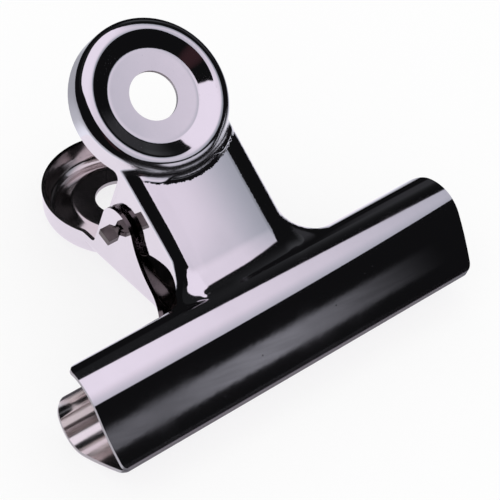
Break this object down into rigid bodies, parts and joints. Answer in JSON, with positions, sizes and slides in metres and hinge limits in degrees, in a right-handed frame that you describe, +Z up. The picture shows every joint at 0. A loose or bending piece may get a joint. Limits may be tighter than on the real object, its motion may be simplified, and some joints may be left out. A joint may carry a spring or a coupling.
{
  "type": "bulldog clip",
  "caption": "Sprung letter clip of plated steel: wide curved jaws, necks hinged on a pin with a torsion spring, and round thumb discs with hanging holes.",
  "frame": {"origin": "on the surface that the clip lies on, under the centre of its bounding box", "axes": "+X along the jaws, +Y from the lips to the thumb discs, +Z up, out of the front plate; the clip lies on the bulge of its rear jaw and the rim of its rear thumb disc"},
  "size_m": [0.077, 0.0662, 0.0425],
  "materials": {
    "plated_sheet": "bright plated steel",
    "plated_pin": "bright plated steel",
    "spring_wire": "drawn wire"
  },
  "bodies": {
    "rear": {"rear_plate": "plated_sheet", "pivot_pin": "plated_pin", "torsion_spring": "spring_wire"},
    "front": {"front_plate": "plated_sheet"}
  },
  "joints": [
    {"name": "jaw_hinge", "type": "hinge", "parent": "rear", "child": "front", "pos_m": [0, 0.00327, 0.01533], "axis": [-1, 0, 0], "range_deg": [0, 62], "stiffness_Nm_per_rad": 0.4, "springref_deg": -57.3, "deforming": ["torsion_spring"]}
  ]
}
